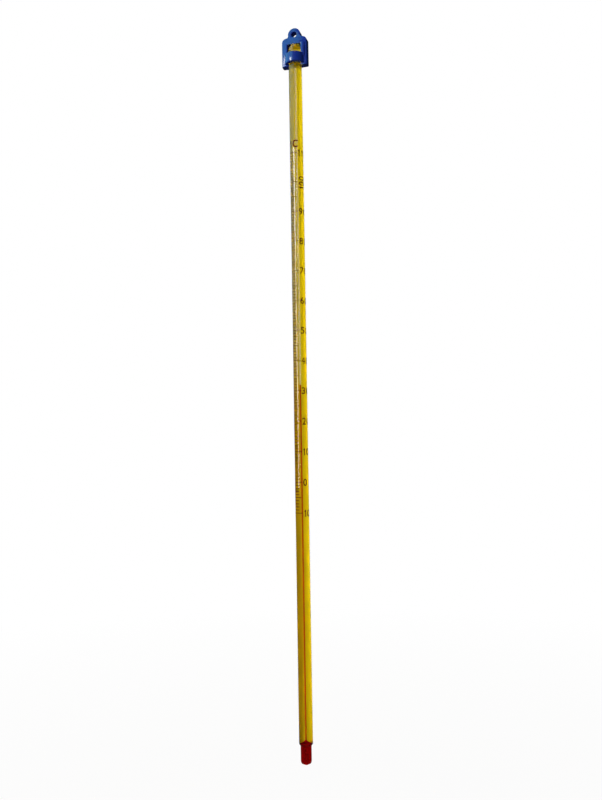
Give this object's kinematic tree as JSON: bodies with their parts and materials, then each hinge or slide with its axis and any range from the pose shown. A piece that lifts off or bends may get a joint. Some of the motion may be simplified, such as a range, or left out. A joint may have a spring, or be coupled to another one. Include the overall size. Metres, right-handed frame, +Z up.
{
  "type": "laboratory thermometer",
  "caption": "Solid-stem glass laboratory thermometer with a yellow enamel back, red spirit column, fired scale lines and a moulded anti-roll cap with a hanging eye.",
  "frame": {"origin": "lowest point of the bulb's tip, on the axis of the stem", "axes": "+Z up the axis of the stem towards the cap, -Y out of the front of the scale, +X to the right of someone reading the scale"},
  "size_m": [0.0115, 0.0086, 0.3116],
  "materials": {
    "clear_glass": "fire polished",
    "yellow_enamel": "opaque enamel",
    "red_spirit": "clear dyed liquid",
    "fired_pigment": "fired brown pigment",
    "blue_plastic": "satin moulded"
  },
  "bodies": {
    "cap": {"anti_roll_cap": "blue_plastic"},
    "thermometer": {"glass_stem": "clear_glass", "glass_bulb": "clear_glass", "enamel_strip": "yellow_enamel", "bulb_spirit": "red_spirit", "spirit_thread": "red_spirit", "degree_lines": "fired_pigment", "five_degree_lines": "fired_pigment", "ten_degree_lines": "fired_pigment"},
    "column_head": {"spirit_meniscus": "red_spirit"}
  },
  "joints": [
    {"name": "cap_turn", "type": "hinge", "parent": "cap", "child": "thermometer", "pos_m": [0, 0, 0.2979], "axis": [0, 0, 1], "continuous": true},
    {"name": "column_rise", "type": "slide", "parent": "thermometer", "child": "column_head", "axis": [0, 0, 1], "range_m": [-0.05355, 0.09945], "deforming": ["spirit_thread"]}
  ]
}
